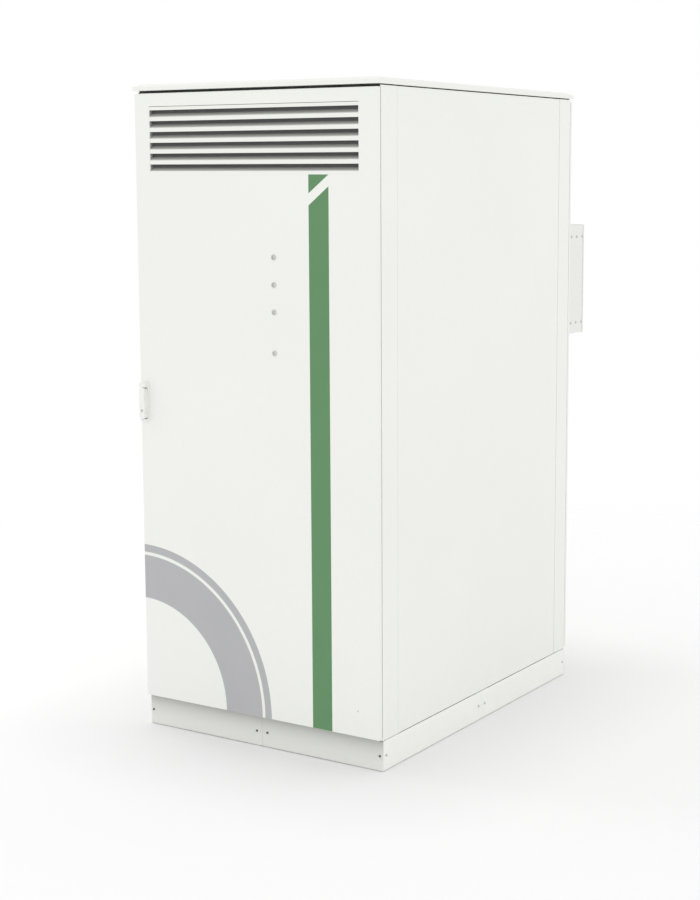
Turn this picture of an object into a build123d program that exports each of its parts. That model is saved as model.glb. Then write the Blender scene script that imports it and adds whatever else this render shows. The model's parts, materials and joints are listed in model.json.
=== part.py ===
from build123d import *
import math
import os

# Outdoor battery cabinet.  Millimetres, +Z up, +X to the right of someone who
# faces the door, the door looks along -Y.  Origin: floor level, centre of the
# plinth footprint.

# ---- driving dimensions -----------------------------------------------------
W = 1000.0            # body width
D = 1335.0            # body depth
PLINTH = 108.0        # plinth height
BODY0 = 113.0         # body starts here, above a shadow groove
BODY1 = 2252.0        # top of posts and rails
SKIN0, SKIN1 = 107.5, 2257.5  # outer side skins, bottom and top
COVER0, COVER1 = 1.5, 105.0   # plinth covers, bottom and top
CAP0 = 2261.5         # underside of the roof cap
CAP_FLANGE = 13.0     # vertical edge of the cap
CAP_RISE = 9.0        # chamfer rise
CAP_RUN = 20.0        # chamfer run
CAP_SIDE = 4.0        # cap overhang at the sides
CAP_FRONT = 25.0      # cap overhang in front of the body
CAP_REAR = 21.0       # cap overhang behind the body
POST_SIDE_F = 94.0    # front corner strip seen on the side
POST_SIDE_R = 89.0    # rear corner strip seen on the side
POST_FRONT = 60.0     # post flange behind the door edge
T = 2.5               # post sheet
S = 1.5               # panel sheet

DOOR_T = 16.0         # door pan depth
DOOR_PROUD = 20.0     # door face in front of the body
DOOR_Z0, DOOR_Z1 = 112.0, 2252.0
DOOR_HX = 499.5       # half width of the door
REAR_PROUD = 17.0
REAR_T = 14.0

LV_X0, LV_X1 = -436.0, 428.0
LV_Z0, LV_Z1 = 1977.0, 2206.0
LV_SLOT_TOP = 2194.5  # top of the first slot
LV_PITCH = 36.75
LV_SLOT = 23.7
LV_RISE = 13.0        # how far a blade rises behind its lip
LV_SEAM = 1.6         # seam above the insert

PACKS = 5
PACK_W, PACK_D, PACK_H = 810.0, 1060.0, 235.0
PACK_Z, PACK_PITCH = 190.0, 255.0

HX, HZ = -474.0, 1221.0       # handle spindle axis
BASE_HW, GRIP_HW = 13.5, 11.5 # half widths of the handle base and grip
HB_Z0, HB_Z1 = 1112.0, 1256.0 # handle base, bottom and top
KEY_Z = 1154.0                # key cylinder
AC_X, AC_Z0, AC_Z1, AC_Y1 = 450.0, 1352.0, 1778.0, 893.0

XR, XL = W / 2, -W / 2
YF, YR = -D / 2, D / 2
DF = YF - DOOR_PROUD          # door face
DB = DF + DOOR_T              # back of the door pan
RF = YR + REAR_PROUD          # outer face of the rear panel

os.makedirs("parts", exist_ok=True)


# ---- helpers ----------------------------------------------------------------
def bx(x0, x1, y0, y1, z0, z1):
    return Pos((x0 + x1) / 2, (y0 + y1) / 2, (z0 + z1) / 2) * Box(abs(x1 - x0), abs(y1 - y0), abs(z1 - z0))


def cylx(r, x0, x1, y, z):
    return Pos((x0 + x1) / 2, y, z) * Rot(0, 90, 0) * Cylinder(r, abs(x1 - x0))


def cyly(r, y0, y1, x, z):
    return Pos(x, (y0 + y1) / 2, z) * Rot(90, 0, 0) * Cylinder(r, abs(y1 - y0))


def cylz(r, z0, z1, x, y):
    return Pos(x, y, (z0 + z1) / 2) * Cylinder(r, abs(z1 - z0))


def prism(plane, pts, amount, direction):
    return extrude(plane * make_face(Polyline(*pts, close=True)), amount=amount, dir=direction)


def prismx(pts, x0, x1):
    return prism(Plane(origin=(x0, 0, 0), x_dir=(0, 1, 0), z_dir=(1, 0, 0)), pts, x1 - x0, (1, 0, 0))


def prismy(pts, y0, y1):
    return prism(Plane(origin=(0, y0, 0), x_dir=(1, 0, 0), z_dir=(0, -1, 0)), pts, y1 - y0, (0, 1, 0))


def stadium_y(x, r, z0, z1, y0, y1):
    """Round-ended bar: width 2r, standing along Z, extruded along Y."""
    return bx(x - r, x + r, y0, y1, z0 + r, z1 - r) + cyly(r, y0, y1, x, z0 + r) + cyly(r, y0, y1, x, z1 - r)


def tube(points, radii, r):
    path = FilletPolyline(*points, radius=radii)
    start = path % 0
    return sweep(Plane(origin=points[0], z_dir=start) * Circle(r), path=path)


def rect_ring(x0, x1, z0, z1, w, y0, y1):
    return bx(x0, x1, y0, y1, z0, z1) - bx(x0 + w, x1 - w, y0 - 1, y1 + 1, z0 + w, z1 - w)


def rbx(x0, x1, y0, y1, z0, z1, r, r_face=0.0, face=None):
    """Box with bent-sheet edges: edges along Y rounded by r, those of the named Y face by r_face."""
    b = bx(x0, x1, y0, y1, z0, z1)
    b = fillet(b.edges().filter_by(Axis.Y), r)
    if r_face > 0:
        f = b.faces().sort_by(Axis.Y)[0 if face == "front" else -1]
        b = fillet(f.edges(), r_face)
    return b


def save(name, *shapes):
    solids = []
    for shape in shapes:
        solids += list(shape.solids())
    out = solids[0] if len(solids) == 1 else Compound(solids)
    export_step(out, "parts/" + name + ".step")
    print(name, len(solids))


def one(shape):
    """A single piece: fails loudly if the pieces of it don't join."""
    found = shape.solids()
    assert len(found) == 1, len(found)
    return found[0]


def screw_y(x, z, y, s, head_r=5.0, head=2.6, r=3.0, length=6.0):
    """Low round head on the face at y; s = +1 when the shank runs towards +Y."""
    h = cyly(head_r, y - s * head if s > 0 else y, y if s > 0 else y + head, x, z)
    k = cyly(r, min(y, y + s * length), max(y, y + s * length), x, z)
    drive = cyly(1.6, *sorted((y - s * head, y - s * (head - 1.4))), x, z)
    return one(h + k - drive)


def screw_x(y, z, x, s, head_r=5.0, head=2.6, r=3.0, length=6.0):
    h = cylx(head_r, *sorted((x, x + s * head)), y, z)
    k = cylx(r, *sorted((x, x - s * length)), y, z)
    drive = cylx(1.6, *sorted((x + s * head, x + s * (head - 1.4))), y, z)
    return one(h + k - drive)


# ---- plinth -------------------------------------------------------------------
FOOT = 120.0
PT = 3.0                       # cover plate thickness
feet = []
for sx in (-1, 1):
    for sy in (-1, 1):
        ox, oy = sx * (W / 2 - PT), sy * (D / 2 - PT)
        ix, iy = ox - sx * FOOT, oy - sy * FOOT
        x0, x1 = sorted((ox, ix))
        y0, y1 = sorted((oy, iy))
        feet.append(one(bx(x0, x1, y0, y1, 0, 8) - cylz(7.0, -1, 9, sx * 437, sy * 604.5)))
        feet.append(one(bx(x0, x1, y0, y1, PLINTH - 8, PLINTH)))
        feet.append(one(bx(*sorted((ox, ox - sx * 8)), y0, y1, 8, PLINTH - 8)))
        feet.append(one(bx(*sorted((ox - sx * 8, ix)), *sorted((oy, oy - sy * 8)), 8, PLINTH - 8)))
for sx in (-1, 1):
    x0, x1 = sorted((sx * (W / 2 - PT), sx * (W / 2 - PT - 60)))
    feet.append(one(bx(x0, x1, -40, 40, 0, 6)))
    feet.append(one(bx(x0, x1, -40, 40, PLINTH - 6, PLINTH)))
    feet.append(one(bx(*sorted((sx * (W / 2 - PT), sx * (W / 2 - PT - 8))), -40, 40, 6, PLINTH - 6)))
for sy in (-1, 1):
    y0, y1 = sorted((sy * (D / 2 - PT), sy * (D / 2 - PT - 60)))
    feet.append(one(bx(-40, 40, y0, y1, 0, 6)))
    feet.append(one(bx(-40, 40, y0, y1, PLINTH - 6, PLINTH)))
    feet.append(one(bx(-40, 40, *sorted((sy * (D / 2 - PT), sy * (D / 2 - PT - 8))), 6, PLINTH - 6)))

PZ = 53.0
end_x = (-488.0, -22.5, 22.5, 488.0)
side_y = (-648.0, -22.5, 22.5, 652.0)


def cut_feet(cutter):
    c = cutter.bounding_box()
    for i, f in enumerate(feet):
        b = f.bounding_box()
        if (b.min.X < c.max.X and b.max.X > c.min.X and b.min.Y < c.max.Y and b.max.Y > c.min.Y
                and b.min.Z < c.max.Z and b.max.Z > c.min.Z):
            feet[i] = one(f - cutter)


screws = []
covers_end, covers_side = [], []
for sy in (-1, 1):
    yo = sy * D / 2
    y0, y1 = sorted((yo, yo - sy * PT))
    for x0, x1 in ((XL, -0.25), (0.25, XR)):
        plate = bx(x0, x1, y0, y1, COVER0, COVER1)
        plate = fillet([e for e in plate.faces().sort_by(Axis.Y)[-1 if sy > 0 else 0].edges() if abs(e.center().X) > 1], 0.8)
        for x in end_x:
            if x0 < x < x1:
                plate -= cyly(2.0, y0 - 1, y1 + 1, x, PZ)
        covers_end.append(one(plate))
    for x in end_x:
        cut_feet(cyly(2.0, *sorted((yo, yo - sy * 8.0)), x, PZ))
        screws.append(screw_y(x, PZ, yo, -sy, head_r=3.9, head=2.2, r=2.0, length=8.0))
for sx in (-1, 1):
    xo = sx * W / 2
    x0, x1 = sorted((xo, xo - sx * PT))
    for y0, y1 in ((YF + PT, -0.25), (0.25, YR - PT)):
        plate = bx(x0, x1, y0, y1, COVER0, COVER1)
        plate = fillet([e for e in plate.faces().sort_by(Axis.X)[-1 if sx > 0 else 0].edges() if abs(e.center().Y) > 1], 0.8)
        for y in side_y:
            if y0 < y < y1:
                plate -= cylx(2.0, x0 - 1, x1 + 1, y, PZ)
        covers_side.append(one(plate))
    for y in side_y:
        cut_feet(cylx(2.0, *sorted((xo, xo - sx * 8.0)), y, PZ))
        screws.append(screw_x(y, PZ, xo, sx, head_r=3.9, head=2.2, r=2.0, length=8.0))
save("plinth_feet", *feet)
save("plinth_covers_front_rear", *covers_end)
save("plinth_covers_sides", *covers_side)

# ---- base plate, gland plate, glands ------------------------------------------
base = [one(bx(-496, 496, -566, YR - 4, PLINTH, BODY0)), one(bx(-496, 496, YF + 4, -606, PLINTH, BODY0)),
        one(bx(-496, -340, -606, -566, PLINTH, BODY0)), one(bx(340, 496, -606, -566, PLINTH, BODY0))]

glands_big = (-300.0, -220.0, -140.0, -60.0)
glands_small = (60.0, 120.0, 180.0, 240.0)
GY = -586.0
gplate = bx(-355, 355, -616, -556, BODY0, BODY0 + 3)
glands = []
for x in glands_big:
    gplate -= cylz(17.0, BODY0 - 1, BODY0 + 4, x, GY)
    g = cylz(17.0, 92, 132, x, GY) + extrude(Pos(x, GY, BODY0 + 3) * RegularPolygon(23, 6), amount=8)
    g += extrude(Pos(x, GY, 104) * RegularPolygon(19.5, 6), amount=9) + cylz(20.0, 128, 146, x, GY)
    glands.append(one(g - cylz(14.0, 80, 160, x, GY)))
for x in glands_small:
    gplate -= cylz(9.0, BODY0 - 1, BODY0 + 4, x, GY)
    g = cylz(9.0, 96, 128, x, GY) + extrude(Pos(x, GY, BODY0 + 3) * RegularPolygon(13, 6), amount=6)
    g += extrude(Pos(x, GY, 106) * RegularPolygon(12.5, 6), amount=7) + cylz(11.0, 124, 136, x, GY)
    glands.append(one(g - cylz(5.5, 80, 160, x, GY)))
save("base_and_gland_plate", *base, one(gplate))
save("cable_glands", *glands)

# ---- body frame ---------------------------------------------------------------
posts = []
rear_screw_z = (150.0, 550.0, 950.0, 1300.0, 1830.0, 2200.0)
for sx in (-1, 1):
    for sy, strip in ((-1, POST_SIDE_F), (1, POST_SIDE_R)):
        xo, yo = sx * W / 2, sy * D / 2
        yi = yo - sy * strip
        p = bx(*sorted((xo, xo - sx * T)), *sorted((yo, yi)), SKIN0, SKIN1)
        p += bx(*sorted((xo, xo - sx * POST_FRONT)), *sorted((yo, yo - sy * T)), SKIN0, SKIN1)
        p += bx(*sorted((xo, xo - sx * 28)), *sorted((yi, yi + sy * T)), BODY0, BODY1)
        p += bx(*sorted((xo - sx * (POST_FRONT - T), xo - sx * POST_FRONT)), *sorted((yo, yo - sy * 30)), BODY0, BODY1)
        corner = [e for e in p.edges().filter_by(Axis.Z) if abs(e.center().X - xo) < 0.01 and abs(e.center().Y - yo) < 0.01]
        p = fillet(corner, 2.0)
        p -= bx(*sorted((xo - sx * 4, xo - sx * (POST_FRONT + 1))), *sorted((yo + sy, yo - sy * (T + 1))), BODY1, SKIN1 + 1)
        if sy > 0:
            for z in rear_screw_z:
                p -= cyly(3.0, yo - 5, yo + 1, sx * 480, z)
        posts.append(one(p))
save("corner_posts", *posts)

PX = W / 2 - POST_FRONT      # rails run between the posts


def rail(x0, x1, y0, y1, z0, z1, t=3.0, open_side="top"):
    """Folded channel, its open side turned away from what it carries."""
    out = bx(x0, x1, y0, y1, z0, z1)
    if x1 - x0 > y1 - y0:
        inner = bx(x0 - 1, x1 + 1, y0 + t, y1 - t, z0 + t, z1 - t)
    else:
        inner = bx(x0 + t, x1 - t, y0 - 1, y1 + 1, z0 + t, z1 - t)
    return one(out - inner)


rails = [
    rail(-PX, PX, YF, YF + 40, 2205, BODY1),
    rail(-PX, PX, YR - 40, YR, 2205, BODY1),
    rail(-PX, PX, YF, YF + 40, BODY0, 168),
    rail(-PX, PX, YR - 40, YR, BODY0, 168),
]
for sx in (-1, 1):
    x0, x1 = sorted((sx * 432, sx * 470))
    rails.append(rail(x0, x1, YF + 42, YR - 42, 2205, BODY1))
    x0, x1 = sorted((sx * 457, sx * 472))
    rails.append(rail(x0, x1, -570, 570, BODY0, 168))
save("body_rails", *rails)

SP_Y0, SP_Y1 = YF + POST_SIDE_F + 1.5, YR - POST_SIDE_R - 1.5
for sx, name in ((-1, "side_panel_left"), (1, "side_panel_right")):
    xo = sx * W / 2
    pan = bx(*sorted((xo, xo - sx * 25)), SP_Y0, SP_Y1, SKIN0, SKIN1)
    pan = fillet(pan.faces().sort_by(Axis.X)[-1 if sx > 0 else 0].edges(), 1.2)
    pan -= bx(*sorted((xo - sx * S, xo - sx * 26)), SP_Y0 + S, SP_Y1 - S, 116 + S, SKIN1 - S)
    pan -= bx(*sorted((xo - sx * S, xo - sx * 26)), SP_Y0 - 1, SP_Y1 + 1, SKIN0 - 1, 116)
    parts = [one(pan)]
    for yc in (-190.0, 195.0):
        c = bx(*sorted((xo - sx * S, xo - sx * 18)), yc - 20, yc + 20, 150, 2190)
        c -= bx(*sorted((xo - sx * 0.5, xo - sx * (18 - S))), yc - 20 + S, yc + 20 - S, 149, 2191)
        parts.append(one(c))
    save(name, *parts)

rear = rbx(-499, 499, YR + 3, RF, 113.5, 2250, 3.0, 2.2, "rear")
rear -= rbx(-499 + S, 499 - S, YR + 2, RF - S, 113.5 + S, 2250 - S, 1.6, 0.9, "rear")
rear -= bx(-430, 430, YR, RF + 1, 1372, 1758)
for sx in (-1, 1):
    for z in rear_screw_z:
        rear += cyly(5.0, YR + 3, RF - S, sx * 480, z)
        rear -= cyly(3.0, YR, RF + 1, sx * 480, z)
        screws.append(screw_y(sx * 480, z, RF, -1, length=RF - YR + 4.0))
save("rear_panel", one(rear))

# ---- roof -----------------------------------------------------------------------
CX, CY0, CY1 = W / 2 + CAP_SIDE, YF - CAP_FRONT, YR + CAP_REAR
CAPM, CAP1 = CAP0 + CAP_FLANGE, CAP0 + CAP_FLANGE + CAP_RISE


def cap_solid(inset, z0, drop):
    a = prismx([(CY0 + inset, z0), (CY1 - inset, z0), (CY1 - inset, CAPM - drop), (CY1 - CAP_RUN - inset, CAP1 - drop),
                (CY0 + CAP_RUN + inset, CAP1 - drop), (CY0 + inset, CAPM - drop)], -CX - 5, CX + 5)
    b = prismy([(-CX + inset, z0), (CX - inset, z0), (CX - inset, CAPM - drop), (CX - CAP_RUN - inset, CAP1 - drop),
                (-CX + CAP_RUN + inset, CAP1 - drop), (-CX + inset, CAPM - drop)], CY0 - 5, CY1 + 5)
    return a & b


cap = cap_solid(0, CAP0, 0)
cap = fillet([e for e in cap.edges().filter_by(Axis.Z)], 2.5)
cap = cap - cap_solid(2.0, CAP0 + 2, 2.0)
cap -= bx(-CX + 75, CX - 75, CY0 + 100, CY1 - 95, CAP0 - 1, CAP0 + 3)
plugs = []
for sx in (-1, 1):
    for sy in (-1, 1):
        x, y = sx * 400, sy * 560
        cap -= cylz(9.0, CAP1 - 3, CAP1 + 1, x, y)
        plugs.append(one(cylz(9.0, CAP1 - 8, CAP1, x, y) + cylz(16.0, CAP1, CAP1 + 2.5, x, y)))
save("roof_cap", one(cap))
save("roof_lifting_plugs", *plugs)

seal_roof = bx(-470, 470, YF + 4, YR - 4, BODY1, CAP0) - bx(-446, 446, YF + 36, YR - 36, BODY1 - 1, CAP0 + 1)
seal_rear = rect_ring(-468, 468, 145, 2225, 12, YR, YR + 3)
seal_roof += bx(-496, 496, YF + 4, YF + 36, BODY1, CAP0) + bx(-496, 496, YR - 36, YR - 4, BODY1, CAP0)
save("body_seals", one(seal_roof), one(seal_rear))

# ---- battery compartment ----------------------------------------------------------
up_z1 = 1790.0
rack = []
for sx in (-1, 1):
    for y0, y1 in ((-540, -500), (480, 520)):
        x0, x1 = sorted((sx * 416, sx * 454))
        u = bx(x0, x1, y0, y1, BODY0, up_z1) - bx(*sorted((sx * 412, sx * 451)), y0 + 3, y1 - 3, BODY0 - 1, up_z1 + 1)
        rack.append(one(u))
for i in range(PACKS + 1):
    zb = PACK_Z + PACK_PITCH * i
    for sx in (-1, 1):
        r = bx(*sorted((sx * 370, sx * 416)), -540, 520, zb - 3, zb) + bx(*sorted((sx * 412.5, sx * 416)), -540, 520, zb - 3, zb + 40)
        rack.append(one(r))
save("battery_rack", *rack)
save("partition_shelf", one(bx(-470, 470, -625, 625, up_z1, up_z1 + 3) - bx(330, 420, -600, -560, up_z1 - 1, up_z1 + 4)
                            + bx(-470, 470, -625, -622, up_z1 - 20, up_z1)))

cases, rows, fronts, handles, plus, minus = [], [], [], [], [], []
FP = -546.0                  # front plane of the pack plates
TX_P, TX_N, TZ = 290.0, 335.0, 62.0
for i in range(PACKS):
    zb = PACK_Z + PACK_PITCH * i
    tray = bx(-PACK_W / 2, PACK_W / 2, -540, 520, zb, zb + PACK_H) - bx(-PACK_W / 2 + 2, PACK_W / 2 - 2, -538, 518, zb + 2, zb + PACK_H + 1)
    cases += [one(tray), one(bx(-PACK_W / 2, PACK_W / 2, -540, 520, zb + PACK_H, zb + PACK_H + 2))]
    for k in (-2, -1, 0, 1):
        x0 = k * 178 + 2
        rows.append(one(bx(x0, x0 + 174, -520, 416, zb + 2, zb + 209)))
    f = bx(-452, 452, FP, -540, zb + 4, zb + 234)
    for n in range(9):
        for sx in (-1, 1):
            f -= bx(*sorted((sx * 240, sx * 60)), FP - 1, FP + 3, zb + 40 + 16 * n, zb + 45 + 16 * n)
    fronts.append(one(f))
    for sx in (-1, 1):
        hxp = sx * 400
        handles.append(one(tube([(hxp, FP, zb + 60), (hxp, FP - 42, zb + 60), (hxp, FP - 42, zb + 180), (hxp, FP, zb + 180)], 12, 5.0)))
    plus.append(one(cyly(14.0, FP - 12, FP, TX_P, zb + TZ) + cyly(11.0, FP - 26, FP - 12, TX_P, zb + TZ)))
    minus.append(one(cyly(14.0, FP - 12, FP, TX_N, zb + TZ) + cyly(11.0, FP - 26, FP - 12, TX_N, zb + TZ)))
save("battery_cases", *cases)
save("cell_rows", *rows)
save("pack_handles", *handles)

CEND = FP - 26.0             # cables leave the plugs here
cables = []
CABLE_R = 6.0
for i in range(PACKS - 1):
    z0, z1 = PACK_Z + PACK_PITCH * i + TZ, PACK_Z + PACK_PITCH * (i + 1) + TZ
    cables.append(one(tube([(TX_P, CEND, z0), (TX_P, CEND - 58, z0), (TX_N, CEND - 58, z1), (TX_N, CEND, z1)], 44, CABLE_R)))
HVZ = PACK_Z + PACK_PITCH * PACKS
HV_P, HV_N = 290.0, 375.0
zt = PACK_Z + PACK_PITCH * (PACKS - 1) + TZ
plus.append(one(cyly(14.0, FP - 12, FP, HV_P, HVZ + TZ) + cyly(11.0, FP - 26, FP - 12, HV_P, HVZ + TZ)))
minus.append(one(cyly(14.0, FP - 12, FP, HV_N, HVZ + TZ) + cyly(11.0, FP - 26, FP - 12, HV_N, HVZ + TZ)))
cables.append(one(tube([(TX_P, CEND, zt), (TX_P, CEND - 58, zt), (HV_P, CEND - 58, HVZ + TZ), (HV_P, CEND, HVZ + TZ)], 44, CABLE_R)))
zn = PACK_Z + TZ
cables.append(one(tube([(TX_N, CEND, zn), (TX_N, CEND - 58, zn), (HV_N, CEND - 58, zn + 90), (HV_N, CEND - 58, HVZ + TZ), (HV_N, CEND, HVZ + TZ)],
                       [26, 44, 44], CABLE_R)))
save("pack_plugs_plus", *plus)
save("pack_plugs_minus", *minus)
save("pack_power_cables", *cables)

# high-voltage box, right part of the top level
hv = bx(-60, 405, -540, 200, HVZ, HVZ + 196) - bx(-58, 403, -541, 198, HVZ + 2, HVZ + 194)
hv_front = bx(-64, 452, FP, -540, HVZ + 4, HVZ + 200) - cyly(6.08, FP - 1, -539, 120, HVZ + 110)
fronts.append(one(hv_front))
save("rack_front_plates", *fronts)
inner = [one(bx(0, 90, -400, -300, HVZ + 2, HVZ + 130)), one(bx(150, 240, -400, -300, HVZ + 2, HVZ + 130)),
         one(bx(-20, 260, -180, 120, HVZ + 2, HVZ + 60)), one(cylx(22, 300, 380, -300, HVZ + 60) + bx(310, 370, -322, -278, HVZ + 2, HVZ + 50))]
save("high_voltage_box", one(hv), *inner)

# rotary isolator: escutcheon and switch block fixed, knob turns a quarter
IX, IZ = 120.0, HVZ + 110.0
iso = bx(IX - 34, IX + 34, FP - 3, FP, IZ - 34, IZ + 34) - cyly(6.08, FP - 4, FP + 1, IX, IZ)
iso_block = bx(IX - 30, IX + 30, -530, -470, IZ - 30, IZ + 30) + bx(IX - 24, IX + 24, -540, -530, IZ - 24, IZ + 24)
iso_block -= cyly(6.08, -541, -523.5, IX, IZ)
knob = cyly(24.0, FP - 12, FP - 3.5, IX, IZ) + bx(IX - 6, IX + 6, FP - 34, FP - 12, IZ - 24, IZ + 24) + cyly(6.0, FP - 4, -524, IX, IZ)
save("isolator_knob", one(knob))

# control section, left part of the top level
cp = [one(bx(-405, -75, -442, -440, HVZ + 1, HVZ + 196) + bx(-405, -75, -442, -400, HVZ + 0, HVZ + 2)),
      one(bx(-395, -85, -449.5, -442, HVZ + 80, HVZ + 115) - bx(-396, -84, -450, -443.5, HVZ + 85, HVZ + 110))]
save("control_plate", *cp)
BRZ, BRY = HVZ + 97.5, -522.0
br = bx(-392, -320, BRY + 12, -449.5, BRZ - 43, BRZ + 43) + bx(-392, -320, BRY, BRY + 12, BRZ - 23, BRZ + 23)
br -= cylx(9.5, -391, -321, BRY + 4, BRZ) + bx(-391, -321, BRY - 1, BRY + 4, BRZ - 9.5, BRZ + 9.5)
br = one(br)
tog = cylx(9.42, -389.5, -322.5, BRY + 4, BRZ) + Pos(-356, BRY + 4, BRZ) * Rot(-35, 0, 0) * Pos(0, -13, 0) * Box(64, 20, 4)
save("switch_bodies", one(iso), one(iso_block), br)
save("breaker_toggle", one(tog))
mods = [one(bx(-170, -92, -505, -449.5, BRZ - 48, BRZ + 48) + bx(-164, -98, -512, -505, BRZ - 40, BRZ + 40))]
for k in range(9):
    x0 = -306 + 13.5 * k
    mods.append(one(bx(x0, x0 + 12.5, -495, -449.5, BRZ - 26, BRZ + 26) - cyly(3.2, -496, -485, x0 + 6.25, BRZ + 15)
                    - cyly(3.2, -496, -485, x0 + 6.25, BRZ - 15)))
save("controller_and_terminals", *mods)
eb = bx(-300, -80, YF + 40 + 12, YF + 40 + 17, 122, 147)
for k in range(6):
    eb -= cyly(4.0, YF + 50, YF + 60, -270 + 32 * k, 134.5)
eb += bx(-298, -286, YF + 40, YF + 52, 126, 143) + bx(-94, -82, YF + 40, YF + 52, 126, 143)
save("earth_bar", one(eb))

ext = one(cylz(38, 1806, 2020, 428, 300) + cylz(14, 2020, 2040, 428, 300)
          + bx(405, 451, 255, 266, 1793, 1900) + bx(405, 451, 262, 300, 1793, 1806))
save("fire_protection", ext, one(cylz(52, 1774, up_z1, -250, -300) + cylz(36, 1758, 1774, -250, -300)))

# ---- power converter in the upper compartment ------------------------------------
CVF = -520.0
cv = bx(-380, 380, CVF, 180, 1800, 2170) - bx(-378, 378, CVF + 2, 178, 1802, 2168)
cv -= bx(-300, 300, 170, 190, 1850, 2120)
FANX, FANZ, FR = 190.0, 1985.0, 96.0
for sx in (-1, 1):
    cv -= cyly(FR, CVF - 1, CVF + 3, sx * FANX, FANZ)
cv = one(cv + bx(-380, -340, CVF, 180, 1793, 1800) + bx(340, 380, CVF, 180, 1793, 1800))
sink = bx(-330, 330, -380, 120, 1830, 1850)
for k in range(23):
    sink += bx(-330 + 29.7 * k, -325 + 29.7 * k, -380, 120, 1850, 2010)
sink += bx(-330, 330, -380, -370, 1802, 1832) + bx(-330, 330, 110, 120, 1802, 1832)
save("power_converter", cv, one(sink))
frames = []
for sx in (-1, 1):
    x = sx * FANX
    fr = bx(x - 110, x + 110, CVF - 40, CVF, FANZ - 110, FANZ + 110) - cyly(FR + 3, CVF - 41, CVF + 1, x, FANZ)
    for a in range(4):
        fr += Pos(x, CVF - 4, FANZ) * Rot(0, 45 + 90 * a, 0) * Pos(0, 0, 64) * Box(8, 8, 76)
    fr += cyly(32, CVF - 8, CVF, x, FANZ)
    fr -= cyly(4.05, CVF - 9, CVF - 2, x, FANZ)
    for r in (32, 56, 80):
        fr += cyly(r + 1.4, CVF - 43, CVF - 40, x, FANZ) - cyly(r - 1.4, CVF - 44, CVF - 39, x, FANZ)
    for a in range(4):
        fr += Pos(x, CVF - 41.5, FANZ) * Rot(0, 90 * a, 0) * Pos(0, 0, 67) * Box(3, 3, 74)
    frames.append(one(fr))
save("converter_fan_frames", *frames)


def rotor(x, z, y0, y1, hub_r, tip_r, blades, pitch, thick=2.5):
    """Axial fan wheel on an axis along Y."""
    out = cyly(hub_r, y0, y1, x, z)
    half = math.degrees(math.atan(12.0 / hub_r))
    span = tip_r - hub_r + 3
    for k in range(blades):
        blade = Pos(0, 0, hub_r - 3 + span / 2) * Rot(0, 0, pitch) * Box(34.0, thick, span)
        out += Pos(x, (y0 + y1) / 2, z) * Rot(0, 360.0 / blades * k, 0) * blade
    return out


for sx, name in ((-1, "converter_fan_left"), (1, "converter_fan_right")):
    rt = rotor(sx * FANX, FANZ, CVF - 36, CVF - 12, 31, 92, 7, 34) + cyly(4.0, CVF - 13, CVF - 3, sx * FANX, FANZ)
    save(name, one(rt))

# ---- air conditioner on the rear panel -----------------------------------------------
AC_S = 1.5
ac = rbx(-AC_X, AC_X, RF, AC_Y1 - 3.5, AC_Z0, AC_Z1, 3.0) - rbx(-AC_X + AC_S, AC_X - AC_S, RF - 1, AC_Y1 + 1, AC_Z0 + AC_S, AC_Z1 - AC_S, 1.6)
ac_screw_y = (791.0, 837.0, 883.5)
ac_screw_z = (1393.5, 1733.0)
for sx in (-1, 1):
    for y in ac_screw_y:
        for z in ac_screw_z:
            ac -= cylx(2.5, *sorted((sx * (AC_X - 5), sx * (AC_X + 1))), y, z)
            screws.append(screw_x(y, z, sx * AC_X, sx, head_r=4.5, head=2.0, r=2.5, length=6.0))
grille = rbx(-AC_X - 2, AC_X + 2, AC_Y1, AC_Y1 + 8, AC_Z0 - 2, AC_Z1 + 2, 4.0, 2.0, "rear")
grille += rect_ring(-AC_X + AC_S, AC_X - AC_S, AC_Z0 + AC_S, AC_Z1 - AC_S, 8, AC_Y1 - 6.8, AC_Y1) & rbx(-AC_X + AC_S, AC_X - AC_S, AC_Y1 - 7, AC_Y1 + 1, AC_Z0 + AC_S, AC_Z1 - AC_S, 1.6)
for k in range(17):
    z = AC_Z0 + 42 + 21.0 * k
    for x0, x1 in ((-410, -20), (20, 410)):
        grille -= prismx([(AC_Y1 - 1, z + 6), (AC_Y1 + 9, z - 4), (AC_Y1 + 9, z + 6), (AC_Y1 - 1, z + 16)], x0, x1)
save("ac_rear_grille", one(grille))
acp = bx(-AC_X + AC_S, AC_X - AC_S, RF, RF + 3, AC_Z0 + AC_S, AC_Z1 - AC_S)
save("ac_casing", one(ac), one(acp))
coil = bx(-425, -5, 846, 882, AC_Z0 + 8, AC_Z1 - 8)
for k in range(19):
    coil -= bx(-426, -4, 845, 883, AC_Z0 + 24 + 21 * k, AC_Z0 + 26 + 21 * k) - bx(-418, -12, 852, 876, AC_Z0 + 23 + 21 * k, AC_Z0 + 27 + 21 * k)
evap = bx(-395, 60, 604, 640, 1396, 1734)
for k in range(15):
    evap -= bx(-396, 61, 603, 641, 1410 + 21 * k, 1412 + 21 * k) - bx(-388, 53, 610, 634, 1409 + 21 * k, 1413 + 21 * k)
save("ac_coils", one(coil), one(evap))
comp = cylz(62, 1372, 1590, 250, 785) + Pos(250, 785, 1590) * scale(Sphere(62), by=(1, 1, 0.55)) + bx(190, 310, 725, 845, AC_Z0 + AC_S, 1372)
CFX, CFZ = -215.0, 1565.0
motors = [one(cyly(40, 725, 790, CFX, CFZ) + bx(CFX - 12, CFX + 12, RF + 3, 725, CFZ - 120, CFZ + 120) - cyly(5.05, 770, 791, CFX, CFZ)),
          one(cyly(42, 645, RF, 245, CFZ) - cyly(5.05, 644, 665, 245, CFZ))]
save("ac_compressor_and_motors", one(comp), *motors)
save("ac_condenser_fan", one(rotor(CFX, CFZ, 797, 833, 42, 158, 6, 30, 3.0) + cyly(5.0, 772, 798, CFX, CFZ)))
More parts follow.
